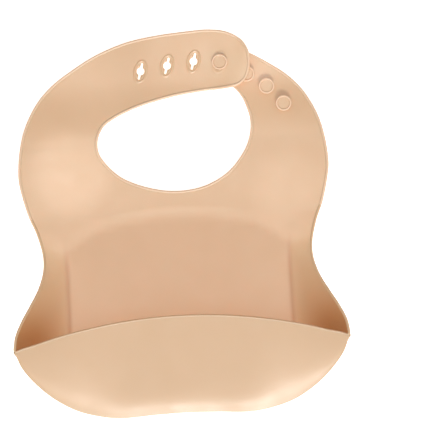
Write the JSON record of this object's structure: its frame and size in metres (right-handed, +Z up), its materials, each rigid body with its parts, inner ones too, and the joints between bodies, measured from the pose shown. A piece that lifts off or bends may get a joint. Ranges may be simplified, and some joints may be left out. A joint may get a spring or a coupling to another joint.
{
  "type": "silicone bib",
  "caption": "Soft silicone bib with a crumb-catching pocket, a round neck opening and two overlapping straps closed by keyhole slots over round studs.",
  "frame": {"origin": "middle of the bib's length and width, in the plane of its back as it lies flat", "axes": "+X to the right and +Y towards the closed straps, seen from the front; +Z up out of the back, towards the pocket's outside"},
  "size_m": [0.2584, 0.2949, 0.0507],
  "materials": {
    "silicone": "soft matte peach silicone with a faint sheen"
  },
  "bodies": {
    "root": {"back_panel": "silicone", "left_side_wall": "silicone", "right_side_wall": "silicone", "pocket_bottom": "silicone", "chest_flex": "silicone"},
    "pocket_front": {"front_panel": "silicone", "pocket_lip": "silicone"},
    "chest": {"chest_panel": "silicone", "left_shoulder": "silicone", "right_shoulder": "silicone", "left_shoulder_flex": "silicone", "right_shoulder_flex": "silicone"},
    "left_collar": {"left_collar": "silicone", "left_strap_flex": "silicone"},
    "left_strap": {"left_strap": "silicone", "slot_rim_1": "silicone", "slot_rim_2": "silicone", "slot_rim_3": "silicone", "slot_rim_4": "silicone"},
    "right_strap": {"right_strap": "silicone", "stud_1": "silicone", "stud_2": "silicone", "stud_3": "silicone", "stud_4": "silicone"}
  },
  "joints": [
    {"name": "pocket_flex", "type": "hinge", "parent": "root", "child": "pocket_front", "pos_m": [0, -0.1392, 0.012], "axis": [1, 0, 0], "range_deg": [-28, 12], "stiffness_Nm_per_rad": 1.5, "deforming": ["left_side_wall", "right_side_wall", "pocket_bottom"]},
    {"name": "chest_fold", "type": "hinge", "parent": "root", "child": "chest", "pos_m": [0, 0.0108, 0.0008], "axis": [1, 0, 0], "range_deg": [-45, 60], "deforming": ["chest_flex"]},
    {"name": "left_shoulder_bend", "type": "hinge", "parent": "chest", "child": "left_collar", "pos_m": [-0.085, 0.0738, 0.0049], "axis": [1, 0, 0], "range_deg": [-60, 30], "deforming": ["left_shoulder_flex"]},
    {"name": "right_shoulder_bend", "type": "hinge", "parent": "chest", "child": "right_strap", "pos_m": [0.087, 0.0738, 0.0049], "axis": [1, 0, 0], "range_deg": [-60, 30], "deforming": ["right_shoulder_flex"]},
    {"name": "left_strap_peel", "type": "hinge", "parent": "left_collar", "child": "left_strap", "pos_m": [-0.0445, 0.10905, 0.0032], "axis": [0.4591, -0.8884, 0], "range_deg": [0, 100], "deforming": ["left_strap_flex", "slot_rim_4"]}
  ],
  "couplings": [
    {"joint": "right_shoulder_bend", "follows": "left_shoulder_bend", "ratio": 1}
  ]
}
